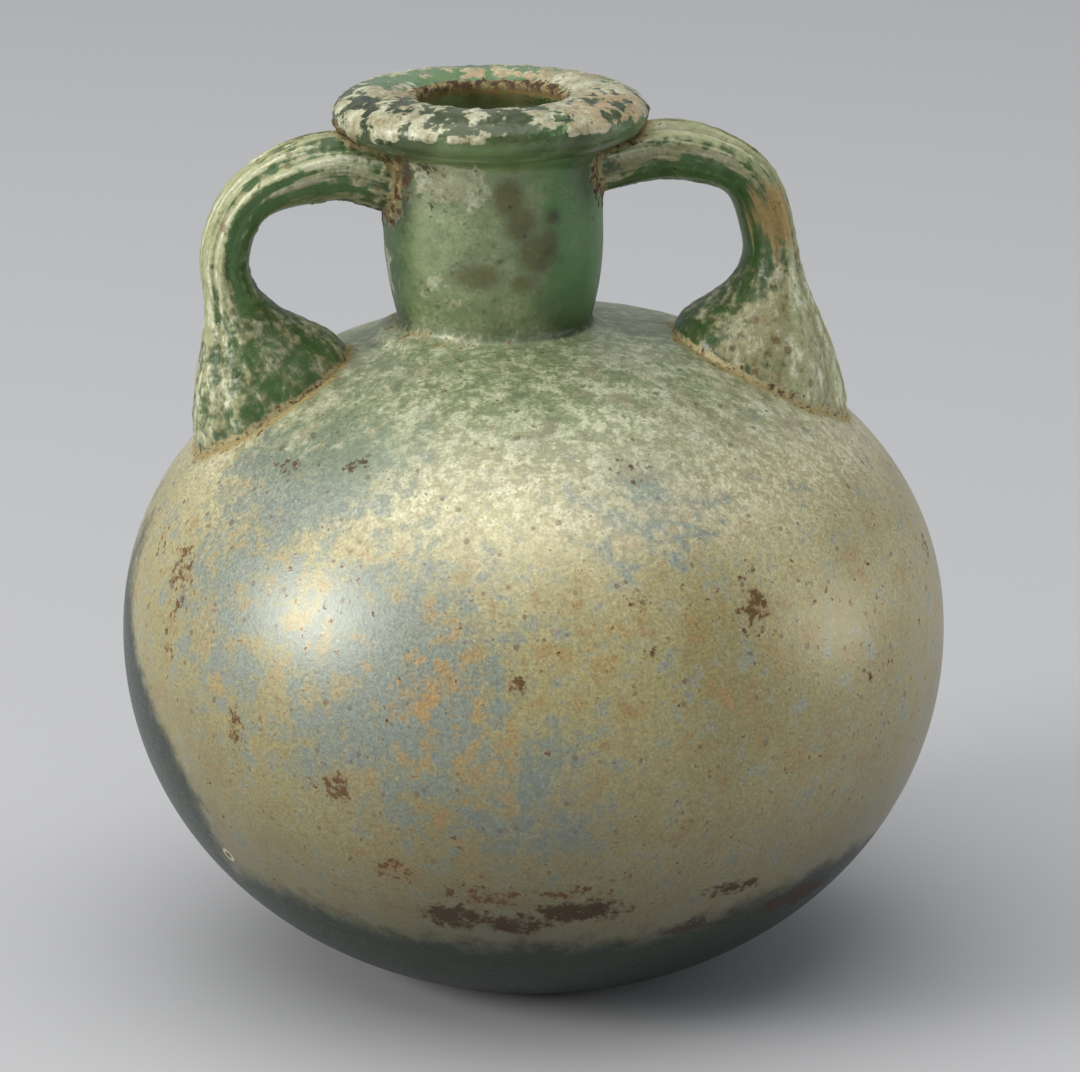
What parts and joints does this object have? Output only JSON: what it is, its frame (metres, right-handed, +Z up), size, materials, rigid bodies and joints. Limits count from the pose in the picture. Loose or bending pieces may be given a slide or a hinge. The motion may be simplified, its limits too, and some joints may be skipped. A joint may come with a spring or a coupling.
{
  "type": "glass perfume flask",
  "caption": "Globular free-blown glass oil flask with a short neck, a folded rim and a reeded strap handle on each side, weathered by burial.",
  "frame": {"origin": "middle of the flat base, on the surface that the flask stands on, under the axis of the globular body", "axes": "+Z up along the body's axis, -Y towards the front that the picture shows, one handle towards -X and the other towards +X"},
  "size_m": [0.084, 0.084, 0.0912],
  "materials": {
    "weathered_glass": "pale green glass under a satin tan and cream weathering crust, bare and translucent in places",
    "handle_glass": "deep green glass, glossy on the inner side, with cream crust along the reeds"
  },
  "bodies": {
    "root": {"flask_vessel": "weathered_glass", "handle_left": "handle_glass", "handle_right": "handle_glass"}
  },
  "joints": []
}
